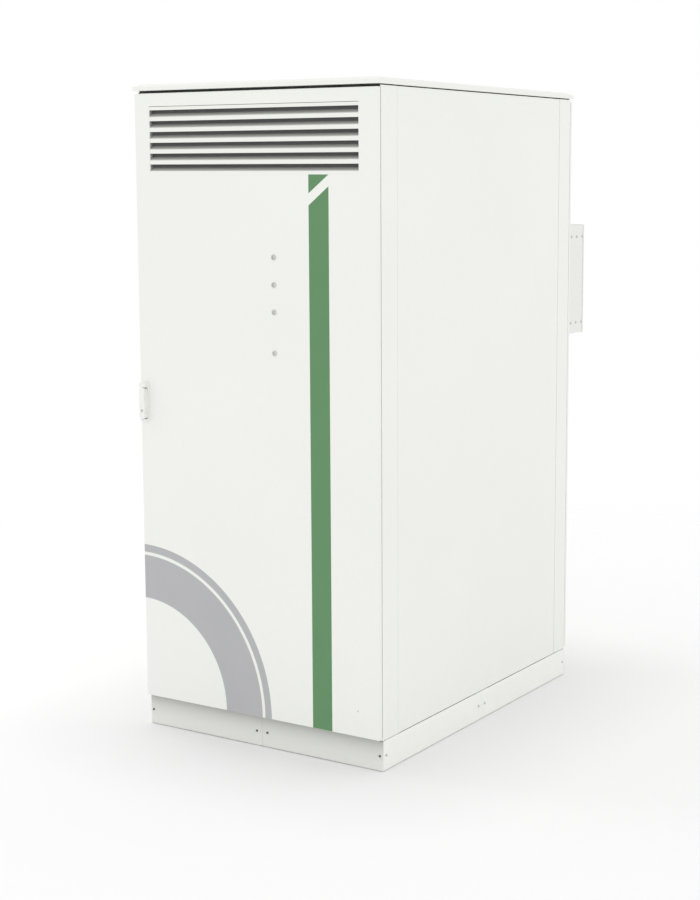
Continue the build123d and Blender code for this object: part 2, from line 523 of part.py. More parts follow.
blower = cyly(82, 606, 611, 245, CFZ) + cyly(24, 610, 640, 245, CFZ) + cyly(5.0, 639, 664, 245, CFZ)
for k in range(20):
    blower += Pos(245, 623, CFZ) * Rot(0, 18 * k, 0) * Pos(0, 0, 73) * Rot(0, 25, 0) * Box(2.5, 26, 14)
blower += cyly(82, 634, 637, 245, CFZ) - cyly(64, 633, 638, 245, CFZ)
save("ac_blower", one(blower))
icv = bx(-425, 425, 590, RF, 1380, 1750) - bx(-423, 423, 592, RF + 1, 1382, 1748)
for k in range(9):
    icv -= bx(-380, 40, 589, 593, 1420 + 34 * k, 1430 + 34 * k)
icv -= cyly(60, 589, 593, 245, CFZ)
save("ac_inner_cover", one(icv))

# ---- door ------------------------------------------------------------------------------
HINGE_X, HINGE_Y = DOOR_HX - 7.0, DF + 7.0
HINGE_Z = (220.0, 860.0, 1500.0, 2120.0)
BARREL_R, PIN_R = 5.0, 2.5
LAMP_X, LAMP_Z = 87.0, (1704.0, 1612.6, 1521.4)
BTN_Z = 1384.0
skin = rbx(-DOOR_HX, DOOR_HX, DF, DB, DOOR_Z0, DOOR_Z1, 3.0, 2.2, "front")
skin -= rbx(-DOOR_HX + S, DOOR_HX - S, DF + S, DB - S, DOOR_Z0 + S, DOOR_Z1 - S, 1.6, 0.9, "front")
skin -= bx(-DOOR_HX + 29.5, DOOR_HX - S, DB - S - 1, DB + 1, DOOR_Z0 + 28, DOOR_Z1 - 28)
skin -= bx(DOOR_HX - 60, DOOR_HX - S, DB - S - 1, DB + 1, DOOR_Z0 + S, DOOR_Z1 - S)
skin -= bx(LV_X0, LV_X1, DF - 1, DF + S + 1, LV_Z0, LV_Z1 + LV_SEAM)
for z in LAMP_Z:
    skin -= cyly(8.0, DF - 1, DF + 3, LAMP_X, z)
skin -= cyly(8.0, DF - 1, DF + 3, LAMP_X, BTN_Z)
skin -= cyly(10.0, DF - 1, DF + 3, HX, HZ)
skin -= cyly(2.0, DF - 1, DF + 3, 414.5, 201)
# notches in the lock-side lip for the two keepers
KEEP_Z = ((210.0, 250.0), (2160.0, 2200.0))
for z0, z1 in KEEP_Z:
    skin -= bx(-DOOR_HX + S, -DOOR_HX + 29.5, DB - S - 1, DB + 1, z0, z1)
save("door_skin", one(skin))
door_plug = one(cyly(3.2, DF - 1.0, DF, 414.5, 201) + cyly(2.0, DF, DF + 8, 414.5, 201))

# louvre insert: flat upright lips at the door face, blades rising inwards
y_lip = DF + 0.2
lv = rect_ring(LV_X0, LV_X1, LV_Z0, LV_Z1, 1.5, y_lip, DB)
lip_tops = [LV_SLOT_TOP - LV_SLOT - LV_PITCH * k for k in range(6)]
lv += bx(LV_X0, LV_X1, y_lip, y_lip + 1.5, LV_SLOT_TOP, LV_Z1)
for zt_ in lip_tops:
    zb_ = max(zt_ - (LV_PITCH - LV_SLOT), LV_Z0)
    lv += bx(LV_X0, LV_X1, y_lip, y_lip + 1.5, zb_, zt_)
    lv += prismx([(y_lip, zt_), (y_lip, zt_ - 2.0), (DB, zt_ + LV_RISE - 2.0), (DB, zt_ + LV_RISE)], LV_X0, LV_X1)
save("louvre", one(lv))

FY1 = DB + 26.0
ff = rect_ring(-437, LV_X1 + 2, LV_Z0 - 4, 2203, 14, DB, FY1)
save("air_filter", one(ff), one(bx(-437 + 14, LV_X1 + 2 - 14, DB, FY1 - 3, LV_Z0 + 10, 2203 - 14)))


def hat(x0, x1, z0, z1):
    """Channel welded to the skin with its legs forward."""
    out = bx(x0, x1, DF + S, DB, z0, z1)
    if z1 - z0 > x1 - x0:
        return one(out - bx(x0 + S, x1 - S, DF + S - 1, DB - S, z0 - 1, z1 + 1))
    return one(out - bx(x0 - 1, x1 + 1, DF + S - 1, DB - S, z0 + S, z1 - S))


stiff = [hat(431, 451, DOOR_Z0 + 29, DOOR_Z1 - 29), hat(-457, -437, DOOR_Z0 + 29, DOOR_Z1 - 29)]
for z in (650.0, 1160.0, 1955.0):
    stiff.append(hat(-437, 431, z - 10, z + 10))
gk = bx(-457, 448, DB, YF - 0.5, 121, 2240) - bx(-445, 436, DB - 1, YF, 133, 2228)
save("door_gasket", one(gk))

# lamps and push-button
bez, lens = [], []
for z in LAMP_Z:
    b = cyly(10.0, DF - 1.6, DF, LAMP_X, z) + cyly(8.0, DF, DF + 24, LAMP_X, z)
    b -= cyly(6.5, DF - 2, DF + 7, LAMP_X, z)
    bez.append(one(b))
    lens.append(one(cyly(6.5, DF + 2.2, DF + 7, LAMP_X, z) + (Pos(LAMP_X, DF + 2.2, z) * Rot(90, 0, 0) * Cone(6.5, 4.5, 1.0, align=(Align.CENTER, Align.CENTER, Align.MIN)))))
b = cyly(10.0, DF - 1.6, DF, LAMP_X, BTN_Z) + cyly(8.0, DF, DF + 26, LAMP_X, BTN_Z)
b -= cyly(6.38, DF - 2, DF + 12, LAMP_X, BTN_Z)
bez.append(one(b))
save("door_bezels_and_plug", *bez, door_plug)
save("lamp_lenses", *lens)
save("push_button", one(cyly(6.3, DF + 0.6, DF + 8, LAMP_X, BTN_Z)))

# hinges
leaves, brackets = [], []
for z in HINGE_Z:
    lf = bx(455, HINGE_X, DF + S, DF + S + 2, z - 40, z + 40)
    lf += cylz(BARREL_R, z - 40, z + 40, HINGE_X, HINGE_Y)
    lf -= bx(454, HINGE_X + 6, DF + S + 2, HINGE_Y + 6, z - 14, z + 14)
    lf -= cylz(BARREL_R + 0.5, z - 14, z + 14, HINGE_X, HINGE_Y)
    lf -= cylz(PIN_R, z - 41, z + 41, HINGE_X, HINGE_Y)
    leaves += list(lf.solids())
    leaves.append(one(cylz(PIN_R, z - 40, z + 40, HINGE_X, HINGE_Y)))
    k = cylz(BARREL_R, z - 13.5, z + 13.5, HINGE_X, HINGE_Y)
    k += bx(472, HINGE_X, HINGE_Y - 1.5, HINGE_Y + 1.5, z - 13.5, z + 13.5)
    k += bx(472, 475, HINGE_Y - 1.5, YF, z - 13.5, z + 13.5)
    k += bx(453, 475, YF - 3, YF, z - 36, z + 36)
    k -= cylz(PIN_R + 0.06, z - 15, z + 15, HINGE_X, HINGE_Y)
    brackets.append(one(k))
    for dz in (-26, 26):
        brackets.append(one(cyly(4.5, YF - 6, YF - 3, 463, z + dz) - cyly(1.8, YF - 7, YF - 4.5, 463, z + dz)))
save("hinge_leaves_and_pins", *leaves)
save("hinge_brackets", *brackets)

# handle: fixed base, spindle with cam, grip that lifts and turns, key cylinder
GP = DF - 17.5               # pin axis, middle of the grip
Y_G0, Y_G1 = DF - 26.5, DF - 8.5
hb = stadium_y(HX, BASE_HW, HB_Z0, HB_Z1, DF - 8, DF)
hb -= cyly(7.16, DF - 9, DF + 1, HX, HZ)
top = stadium_y(HX, BASE_HW, 1190, HB_Z1, DF - 24, DF - 8) - bx(HX - 20, HX + 20, DF - 25, DF - 8, 1180, HZ + 16)
bot = stadium_y(HX, BASE_HW, HB_Z0, 1160, DF - 21, DF - 8) - cyly(98.0, DF - 25, DF - 8, HX, HZ)
save("handle_base", one(hb + top + bot))
grip = stadium_y(HX, GRIP_HW, 1124, 1236, Y_G0, Y_G1)
grip -= prismx([(GP + 9.6, HZ + 1.5), (GP + 9.6, HZ + 16), (GP - 1.0, HZ + 16)], HX - 20, HX + 20)
grip -= bx(HX - 20, HX + 20, Y_G0 - 1, Y_G1 + 1, HZ, HZ + 20) - cylx(15.0, HX - 21, HX + 21, GP, HZ)
grip -= bx(HX - 5.6, HX + 5.6, GP, GP + 12, HZ - 6, HZ + 18) + cylx(5.8, HX - 5.6, HX + 5.6, GP, HZ)
grip -= bx(HX - 5.6, HX + 5.6, GP - 3.2, GP + 12, HZ, HZ + 18)
grip -= bx(HX - 8, HX + 8, GP + 4, GP + 12, 1168, 1205)
grip -= cylx(2.06, HX - 13, HX + 13, GP, HZ) + cyly(5.5, Y_G0 - 1, Y_G1 + 1, HX, KEY_Z)
save("handle_grip", one(grip))
save("lock_cylinder", one(cyly(5.5, Y_G0 - 0.6, Y_G1, HX, KEY_Z) - bx(HX - 0.8, HX + 0.8, Y_G0 - 1, Y_G0 + 4, KEY_Z - 3, KEY_Z + 3)))
CAM_R = 12.73
sp = bx(HX - 5, HX + 5, GP, DF - 7, HZ - 5, HZ + 5) + cylx(5.0, HX - 5, HX + 5, GP, HZ) + cylx(2.0, HX - 10.5, HX + 10.5, GP, HZ)
sp += cyly(7.1, DF - 8.2, DF + 5.5, HX, HZ)
sp += cyly(15.8, DF + 5.5, DF + 8.3, HX, HZ)
a = CAM_R * math.sqrt(0.5)
sp += cyly(2.5, DF + 8.3, DF + 13.2, HX - a, HZ + a) + cyly(2.5, DF + 8.3, DF + 13.2, HX + a, HZ - a)
save("handle_spindle", one(sp))
RY0, RY1 = DF + 9.0, DF + 13.0
up = bx(HX - 15.3, HX - 2, RY0, RY1, HZ + a - 7, HZ + a + 7) - bx(HX - 16, HX - 5.6, RY0 - 1, RY1 + 1, HZ + a - 3.1, HZ + a + 3.1)
up += bx(HX - 13, HX - 2, RY0, RY1, HZ + a + 6, 2178)
lo = bx(HX + 2, HX + 15.3, RY0, RY1, HZ - a - 7, HZ - a + 7) - bx(HX + 5.6, HX + 16, RY0 - 1, RY1 + 1, HZ - a - 3.1, HZ - a + 3.1)
lo += bx(HX + 2, HX + 13, RY0, RY1, 232, HZ - a - 6)
save("lock_rod_upper", one(up))
save("lock_rod_lower", one(lo))
guides = []
for z, x0, x1 in ((1500, HX - 13, HX - 2), (2000, HX - 13, HX - 2), (380, HX + 2, HX + 13), (900, HX + 2, HX + 13)):
    g = bx(x0 - 3, x1 + 3, DF + S, RY1 + 1.3, z, z + 18) - bx(x0 - 0.4, x1 + 0.4, RY0 - 0.4, RY1 + 0.4, z - 1, z + 19)
    guides.append(one(g))
save("door_stiffeners_and_guides", *stiff, *guides)
keepers = []
for z0, z1, x0, x1, up_ in ((2164, 2196, HX - 15, HX + 8, 1), (214, 246, HX - 8, HX + 15, -1)):
    k = bx(x0, x1, YF - 3, YF, z0, z1)
    ze0, ze1 = (2180, 2196) if up_ > 0 else (214, 230)
    k += bx(x0, x1, DF + 5, DF + 8, ze0, ze1)
    k += bx(x0 if up_ < 0 else x1 - 3, x0 + 3 if up_ < 0 else x1, DF + 5, YF, ze0, ze1)
    keepers.append(one(k))
save("lock_keepers", *keepers)
save("cover_screws", *screws)
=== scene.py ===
import json
import math

import bmesh
import bpy
from mathutils import Matrix, Vector


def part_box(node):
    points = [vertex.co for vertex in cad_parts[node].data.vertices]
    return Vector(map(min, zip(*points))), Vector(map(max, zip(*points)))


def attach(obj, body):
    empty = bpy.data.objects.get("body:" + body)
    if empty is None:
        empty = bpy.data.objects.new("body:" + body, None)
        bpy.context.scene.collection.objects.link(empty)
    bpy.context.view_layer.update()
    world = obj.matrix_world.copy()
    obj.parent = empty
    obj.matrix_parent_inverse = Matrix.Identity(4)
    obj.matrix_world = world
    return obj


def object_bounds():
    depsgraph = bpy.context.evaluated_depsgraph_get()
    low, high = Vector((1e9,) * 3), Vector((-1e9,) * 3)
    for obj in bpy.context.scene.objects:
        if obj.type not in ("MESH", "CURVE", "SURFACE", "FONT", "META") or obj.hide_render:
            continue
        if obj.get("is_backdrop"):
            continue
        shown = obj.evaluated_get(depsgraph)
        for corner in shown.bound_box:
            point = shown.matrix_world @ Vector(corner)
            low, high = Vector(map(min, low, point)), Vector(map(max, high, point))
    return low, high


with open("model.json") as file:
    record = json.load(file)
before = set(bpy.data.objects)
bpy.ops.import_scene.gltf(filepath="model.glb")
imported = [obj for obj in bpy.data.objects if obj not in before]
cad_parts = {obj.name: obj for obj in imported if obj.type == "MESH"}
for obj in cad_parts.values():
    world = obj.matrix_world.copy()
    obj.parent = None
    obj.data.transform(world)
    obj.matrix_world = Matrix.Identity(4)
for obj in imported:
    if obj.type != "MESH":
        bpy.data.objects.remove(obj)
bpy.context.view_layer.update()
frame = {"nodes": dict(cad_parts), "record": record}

NODES = frame["nodes"]
scene = bpy.context.scene


# ---------------------------------------------------------------- materials
def srgb(r, g, b):
    """0-255 display colour to linear."""
    out = []
    for c in (r, g, b):
        c /= 255.0
        out.append(c / 12.92 if c <= 0.04045 else ((c + 0.055) / 1.055) ** 2.4)
    return out


class Mat:
    """A node material with a short way to add nodes."""

    def __init__(self, name):
        self.mat = bpy.data.materials.new(name)
        self.mat.use_nodes = True
        self.nt = self.mat.node_tree
        self.nt.nodes.clear()
        self.out = self.nt.nodes.new("ShaderNodeOutputMaterial")
        self.bsdf = self.nt.nodes.new("ShaderNodeBsdfPrincipled")
        self.link(self.bsdf.outputs[0], self.out.inputs["Surface"])
        self.coord = self.nt.nodes.new("ShaderNodeTexCoord").outputs["Object"]
        self.height = None

    def link(self, a, b):
        self.nt.links.new(a, b)

    def node(self, kind, **values):
        n = self.nt.nodes.new(kind)
        for key, value in values.items():
            setattr(n, key, value)
        return n

    def set(self, socket, value):
        if hasattr(value, "is_output"):
            self.link(value, socket)
        else:
            socket.default_value = value

    def stretch(self, x, y, z, turn=(0, 0, 0)):
        m = self.node("ShaderNodeMapping")
        self.link(self.coord, m.inputs["Vector"])
        m.inputs["Scale"].default_value = (x, y, z)
        m.inputs["Rotation"].default_value = turn
        return m.outputs[0]

    def noise(self, scale, detail=2.0, rough=0.5, vector=None, distortion=0.0):
        n = self.node("ShaderNodeTexNoise")
        self.link(vector or self.coord, n.inputs["Vector"])
        n.inputs["Scale"].default_value = scale
        n.inputs["Detail"].default_value = detail
        n.inputs["Roughness"].default_value = rough
        n.inputs["Distortion"].default_value = distortion
        return n.outputs["Fac"]

    def voronoi(self, scale, feature="F1", vector=None, output="Distance", random=1.0):
        n = self.node("ShaderNodeTexVoronoi", feature=feature)
        self.link(vector or self.coord, n.inputs["Vector"])
        n.inputs["Scale"].default_value = scale
        n.inputs["Randomness"].default_value = random
        return n.outputs[output]

    def wave(self, scale, direction="X", vector=None, distortion=0.0, profile="SIN"):
        n = self.node("ShaderNodeTexWave", wave_type="BANDS", bands_direction=direction, wave_profile=profile)
        self.link(vector or self.coord, n.inputs["Vector"])
        n.inputs["Scale"].default_value = scale
        n.inputs["Distortion"].default_value = distortion
        return n.outputs["Fac"]

    def span(self, value, a, b, c=0.0, d=1.0):
        """value mapped from a..b to c..d, clamped."""
        n = self.node("ShaderNodeMapRange")
        self.set(n.inputs["Value"], value)
        for key, v in (("From Min", a), ("From Max", b), ("To Min", c), ("To Max", d)):
            n.inputs[key].default_value = v
        return n.outputs[0]

    def math(self, op, a, b=0.0):
        n = self.node("ShaderNodeMath", operation=op)
        self.set(n.inputs[0], a)
        self.set(n.inputs[1], b)
        return n.outputs[0]

    def mix(self, fac, a, b):
        n = self.node("ShaderNodeMix", data_type="RGBA")
        self.set(n.inputs[0], fac)
        for socket, value in ((n.inputs[6], a), (n.inputs[7], b)):
            if hasattr(value, "is_output"):
                self.link(value, socket)
            else:
                socket.default_value = (*value[:3], 1.0)
        return n.outputs[2]

    def axis(self, which):
        n = self.node("ShaderNodeSeparateXYZ")
        self.link(self.coord, n.inputs[0])
        return n.outputs["XYZ".index(which)]

    def bump(self, height, strength, distance):
        """Adds a layer of relief under the ones already there."""
        n = self.node("ShaderNodeBump")
        n.inputs["Strength"].default_value = strength
        n.inputs["Distance"].default_value = distance
        self.link(height, n.inputs["Height"])
        if self.height is not None:
            self.link(self.height, n.inputs["Normal"])
        self.height = n.outputs[0]
        self.link(self.height, self.bsdf.inputs["Normal"])

    def finish(self, color=None, rough=None, metal=0.0, **sockets):
        if color is not None:
            self.set(self.bsdf.inputs["Base Color"], color if hasattr(color, "is_output") else (*color[:3], 1.0))
        if rough is not None:
            self.set(self.bsdf.inputs["Roughness"], rough)
        self.bsdf.inputs["Metallic"].default_value = metal
        for key, value in sockets.items():
            self.bsdf.inputs[key.replace("_", " ")].default_value = value
        return self.mat


def tint(rgb, k):
    return [min(1.0, c * k) for c in rgb]


def powder(name, rgb, rough=0.46, peel=1.0, dust=0.0, coat=0.0):
    """Powder coat: soft orange peel about 1.5 mm across, fine grain, slow shade drift."""
    m = Mat(name)
    drift = m.span(m.noise(1.7, 3.0, 0.55), 0.3, 0.7)
    cloud = m.span(m.noise(42.0, 3.0, 0.6), 0.3, 0.7)
    speck = m.span(m.noise(1400.0, 1.0, 0.5), 0.35, 0.65)
    col = m.mix(drift, tint(rgb, 0.985), tint(rgb, 1.01))
    col = m.mix(m.math("MULTIPLY", cloud, 0.35), col, tint(rgb, 0.975))
    col = m.mix(m.math("MULTIPLY", speck, 0.22), col, tint(rgb, 1.03))
    r = m.span(m.noise(220.0, 2.0, 0.6), 0.3, 0.7, rough - 0.05, rough + 0.06)
    if dust > 0:
        low = m.span(m.axis("Z"), 0.0, 0.34, 1.0, 0.0)
        low = m.math("POWER", low, 2.2)
        patch = m.span(m.noise(16.0, 5.0, 0.65), 0.35, 0.75)
        f = m.math("MULTIPLY", m.math("MULTIPLY", low, patch), dust)
        col = m.mix(f, col, [rgb[0] * 0.78, rgb[1] * 0.755, rgb[2] * 0.71])
        r = m.math("ADD", r, m.math("MULTIPLY", f, 0.25))
    m.bump(m.noise(640.0, 1.5, 0.45), 0.10 * peel, 0.0006)
    m.bump(m.noise(2300.0, 1.0, 0.5), 0.05 * peel, 0.0002)
    return m.finish(col, r, Specular_IOR_Level=0.42, Coat_Weight=coat, Coat_Roughness=0.35)


def louvre_painted_shade(name, rgb, front, back):
    """White coat whose blades are painted darker the deeper they sit behind the door face: painted shade inside the
    louvre slots.
    """
    m = Mat(name)
    depth = m.span(m.axis("Y"), front, back)
    streak = m.noise(60.0, 4.0, 0.6, vector=m.stretch(0.25, 1.0, 1.0))
    speck = m.span(m.noise(1400.0, 1.0, 0.5), 0.35, 0.65)
    f = m.math("POWER", depth, 0.25)
    f = m.math("MULTIPLY", f, m.span(streak, 0.25, 0.75, 0.93, 1.0))
    col = m.mix(m.math("MULTIPLY", speck, 0.22), tint(rgb, 0.995), tint(rgb, 1.02))
    # painted shade: the colour darkens towards the back of the slots, broken up by the streak noise
    col = m.mix(f, col, [rgb[0] * 0.33, rgb[1] * 0.33, rgb[2] * 0.325])
    m.bump(m.noise(640.0, 1.5, 0.45), 0.10, 0.0006)
    m.bump(streak, 0.08, 0.0006)
    return m.finish(col, m.span(depth, 0.0, 0.5, 0.46, 0.8), Specular_IOR_Level=0.35)


def mesh_cloth(name, rgb=(0.118, 0.119, 0.120)):
    """Charcoal filter mat: open foam with a woven face."""
    m = Mat(name)
    warp = m.wave(150.0, "X")
    weft = m.wave(150.0, "Z")
    fibre = m.noise(420.0, 6.0, 0.75, distortion=2.2)
    weave = m.math("MULTIPLY", warp, weft)
    col = m.mix(weave, tint(rgb, 0.55), tint(rgb, 1.5))
    col = m.mix(m.math("MULTIPLY", fibre, 0.4), col, tint(rgb, 1.8))
    m.bump(weave, 0.5, 0.0010)
    m.bump(fibre, 0.4, 0.0012)
    return m.finish(col, 0.92, Sheen_Weight=0.15, Sheen_Roughness=0.5, Specular_IOR_Level=0.15)


def galvanised(name, rgb=(0.56, 0.57, 0.585)):
    """Zinc spangle: crystal grains about 9 mm across with a dull film over them."""
    m = Mat(name)
    grain = m.node("ShaderNodeTexVoronoi", feature="F1")
    m.link(m.coord, grain.inputs["Vector"])
    grain.inputs["Scale"].default_value = 110.0
    shade = m.node("ShaderNodeSeparateColor")
    m.link(grain.outputs["Color"], shade.inputs[0])
    g = m.math("ADD", m.math("MULTIPLY", shade.outputs[0], 0.75), m.math("MULTIPLY", m.noise(900.0, 3.0, 0.6), 0.25))
    film = m.span(m.noise(9.0, 4.0, 0.6), 0.35, 0.7)
    col = m.mix(g, tint(rgb, 0.80), tint(rgb, 1.12))
    col = m.mix(m.math("MULTIPLY", film, 0.35), col, tint(rgb, 0.92))
    m.bump(m.noise(500.0, 2.0, 0.5), 0.05, 0.0004)
    return m.finish(col, m.span(g, 0.0, 1.0, 0.34, 0.52), metal=0.85)


def steel(name, rgb=(0.60, 0.60, 0.595), rough=0.30, grain=(1.0, 1.0, 1.0)):
    """Zinc-plated or drawn steel with a fine direction to its grain."""
    m = Mat(name)
    v = m.stretch(*grain)
    line = m.noise(1500.0, 2.0, 0.6, vector=v)
    blot = m.span(m.noise(35.0, 3.0, 0.6), 0.35, 0.7)
    col = m.mix(line, tint(rgb, 0.90), tint(rgb, 1.08))
    col = m.mix(m.math("MULTIPLY", blot, 0.3), col, [rgb[0] * 0.96, rgb[1] * 0.94, rgb[2] * 0.86])
    m.bump(line, 0.06, 0.0002)
    return m.finish(col, m.span(line, 0.2, 0.8, rough - 0.05, rough + 0.12), metal=1.0)


def plastic(name, rgb, rough=0.42, grain=1.0, coat=0.0):
    """Moulded plastic with a spark-eroded grain."""
    m = Mat(name)
    pores = m.voronoi(1500.0, "SMOOTH_F1")
    soft = m.span(m.noise(60.0, 3.0, 0.6), 0.3, 0.7)
    col = m.mix(soft, tint(rgb, 0.965), tint(rgb, 1.03))
    col = m.mix(m.math("MULTIPLY", pores, 0.12), col, tint(rgb, 0.88))
    m.bump(pores, 0.09 * grain, 0.00025)
    m.bump(m.noise(380.0, 2.0, 0.5), 0.03 * grain, 0.0004)
    return m.finish(col, m.span(m.noise(300.0, 2.0, 0.5), 0.3, 0.7, rough - 0.05, rough + 0.06), Specular_IOR_Level=0.45, Coat_Weight=coat, Coat_Roughness=0.12)


def rubber(name, rgb=(0.028, 0.028, 0.029)):
    m = Mat(name)
    cell = m.voronoi(900.0, "F1")
    bloom = m.span(m.noise(24.0, 4.0, 0.6), 0.4, 0.75)
    col = m.mix(m.math("MULTIPLY", bloom, 0.4), rgb, tint(rgb, 2.1))
    m.bump(cell, 0.25, 0.0005)
    return m.finish(col, m.span(bloom, 0.0, 1.0, 0.72, 0.86), Specular_IOR_Level=0.3)


def vinyl(name, rgb, rough=0.33):
    """Cast sign film: level, a little glossier than the paint under it."""
    m = Mat(name)
    drift = m.span(m.noise(5.0, 2.0, 0.5), 0.3, 0.7)
    fine = m.span(m.noise(900.0, 2.0, 0.6), 0.35, 0.65)
    col = m.mix(drift, tint(rgb, 0.975), tint(rgb, 1.02))
    col = m.mix(m.math("MULTIPLY", fine, 0.25), col, tint(rgb, 1.05))
    m.bump(m.noise(560.0, 1.5, 0.45), 0.05, 0.0005)
    m.bump(m.noise(18.0, 1.0, 0.4), 0.02, 0.002)
    return m.finish(col, m.span(m.noise(150.0, 2.0, 0.5), 0.3, 0.7, rough - 0.04, rough + 0.05), Specular_IOR_Level=0.45)


def finned(name):
    """Coil face: thin upright fins 2 mm apart with tube shadows behind them."""
    m = Mat(name)
    fin = m.wave(157.0, "X")
    dent = m.noise(30.0, 4.0, 0.6)
    col = m.mix(fin, (0.16, 0.165, 0.17), (0.70, 0.71, 0.72))
    col = m.mix(m.span(dent, 0.55, 0.75, 0.0, 0.35), col, (0.50, 0.51, 0.52))
    m.bump(fin, 0.8, 0.0012)
    m.bump(dent, 0.15, 0.002)
    return m.finish(col, m.span(dent, 0.3, 0.7, 0.32, 0.48), metal=0.9)


def film_cells(name):
    """Blue shrink film over cell cans, a joint every 72 mm."""
    m = Mat(name)
    y = m.math("FRACT", m.math("MULTIPLY", m.axis("Y"), 1.0 / 0.072))
    joint = m.math("LESS_THAN", y, 0.03)
    crease = m.noise(90.0, 4.0, 0.6, distortion=0.8)
    col = m.mix(m.span(crease, 0.35, 0.7), (0.045, 0.15, 0.37), (0.06, 0.20, 0.46))
    col = m.mix(joint, col, (0.01, 0.03, 0.08))
    m.bump(crease, 0.2, 0.0008)
    return m.finish(col, 0.28, Coat_Weight=0.4, Coat_Roughness=0.15)


def copper(name):
    m = Mat(name)
    line = m.noise(1300.0, 2.0, 0.6, vector=m.stretch(0.03, 1.0, 1.0))
    tarnish = m.span(m.noise(40.0, 4.0, 0.6), 0.4, 0.75)
    col = m.mix(line, (0.60, 0.30, 0.17), (0.80, 0.46, 0.30))
    col = m.mix(m.math("MULTIPLY", tarnish, 0.5), col, (0.34, 0.17, 0.10))
    m.bump(line, 0.08, 0.0002)
    return m.finish(col, m.span(tarnish, 0.0, 1.0, 0.24, 0.45), metal=1.0)


def lens(name, rgb):
    """Ribbed lamp lens, smoked grey, unlit."""
    m = Mat(name)
    ring = m.voronoi(620.0, "F1", random=0.0)
    col = m.mix(m.span(ring, 0.0, 0.6), tint(rgb, 1.08), tint(rgb, 0.84))
    m.bump(ring, 0.35, 0.0005)
    return m.finish(col, 0.16, Coat_Weight=0.8, Coat_Roughness=0.05, Specular_IOR_Level=0.6)


def nickel(name):
    m = Mat(name)
    line = m.noise(1400.0, 2.0, 0.5, vector=m.stretch(1.0, 1.0, 0.2))
    col = m.mix(line, (0.58, 0.57, 0.55), (0.76, 0.75, 0.73))
    m.bump(line, 0.04, 0.0001)
    return m.finish(col, m.span(line, 0.3, 0.7, 0.14, 0.26), metal=1.0)


WHITE = srgb(240, 241, 236)
MATS = {
    "white_paint": powder("white_paint_coat", WHITE, 0.46, dust=0.10),
    "plinth_paint": powder("plinth_paint_coat", tint(WHITE, 1.045), 0.5, dust=0.10),
    "frame_paint": powder("frame_paint_coat", srgb(222, 223, 219), 0.48),
    "galvanised": galvanised("galvanised_sheet"),
    "zinc_steel": steel("zinc_plated_steel"),
    "case_paint": powder("dark_case_coat", (0.035, 0.038, 0.042), 0.44, peel=1.4),
    "cell_case": film_cells("cell_film"),
    "black_plastic": plastic("black_moulding", (0.022, 0.022, 0.024), 0.40),
    "grey_plastic": plastic("grey_moulding", (0.36, 0.37, 0.375), 0.42),
    "orange_plastic": plastic("orange_moulding", (0.80, 0.22, 0.02), 0.38),
    "orange_jacket": plastic("cable_jacket", (0.76, 0.20, 0.02), 0.46, grain=0.6),
    "white_plastic": plastic("white_moulding", srgb(240, 240, 236), 0.38),
    "red_plastic": plastic("red_moulding", (0.50, 0.015, 0.015), 0.30, coat=0.3),
    "copper": copper("copper_bar"),
    "fins": finned("coil_fins"),
    "seal_rubber": rubber("seal_foam"),
    "filter_cloth": mesh_cloth("filter_mat"),
    "lens_plastic": lens("lamp_lens", (0.74, 0.745, 0.73)),
    "bezel_plastic": plastic("bezel_moulding", (0.62, 0.625, 0.61), 0.36),
    "lock_chrome": nickel("lock_nickel"),
    "detector_white": plastic("detector_moulding", (0.72, 0.72, 0.70), 0.44),
}
SLOT_OF = {s["node"]: s["material_slot"] for s in frame["record"]["subparts"]}
for name, obj in NODES.items():
    material = MATS[SLOT_OF[name]]
    if not obj.material_slots:
        obj.data.materials.append(material)
    for s in obj.material_slots:
        s.material = material

def shaded_plinth(name, rgb, front, lip, foot):
    """The front covers stand back under the door: painted shadow of the door's overhang, strongest under the door
    and fading towards the foot, over a light painted shade on the whole front face.
    """
    m = Mat(name)
    up = m.span(m.axis("Z"), foot, lip)
    grain = m.span(m.noise(16.0, 5.0, 0.65), 0.3, 0.7, 0.96, 1.0)
    speck = m.span(m.noise(1400.0, 1.0, 0.5), 0.35, 0.65)
    front_shade_mask = m.math("LESS_THAN", m.axis("Y"), front)
    f = m.math("ADD", m.math("MULTIPLY", m.math("POWER", up, 2.2), 0.41), 0.11)
    f = m.math("MULTIPLY", m.math("MULTIPLY", f, front_shade_mask), grain)
    col = m.mix(m.math("MULTIPLY", speck, 0.22), tint(rgb, 0.995), tint(rgb, 1.02))
    # painted shadow: darker towards the door above, with a light painted shade over the whole front
    col = m.mix(f, col, tint(rgb, 0.12))
    m.bump(m.noise(640.0, 1.5, 0.45), 0.10, 0.0006)
    m.bump(m.noise(2300.0, 1.0, 0.5), 0.05, 0.0002)
    return m.finish(col, m.span(m.noise(220.0, 2.0, 0.6), 0.3, 0.7, 0.45, 0.56), Specular_IOR_Level=0.4)


# the front plinth covers get painted shadow under the door
low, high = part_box("plinth_covers_front_rear")
shade = shaded_plinth("plinth_front_painted_shadow", tint(WHITE, 1.0), low[1] + 0.01, high[2], low[2])
for s in NODES["plinth_covers_front_rear"].material_slots:
    s.material = shade
def cover_screw_front_shade_steel(name, front):
    """Screws on the front covers darkened as painted shade under the door, plain zinc on the other covers."""
    m = Mat(name)
    front_shade_mask = m.math("LESS_THAN", m.axis("Y"), front)
    # painted shade: screws in front of the given Y get the dark colour
    col = m.mix(front_shade_mask, (0.60, 0.60, 0.59), (0.16, 0.16, 0.158))
    m.bump(m.noise(1800.0, 1.5, 0.5), 0.08, 0.0002)
    return m.finish(col, m.span(m.noise(900.0, 2.0, 0.6), 0.3, 0.7, 0.32, 0.42), metal=1.0)


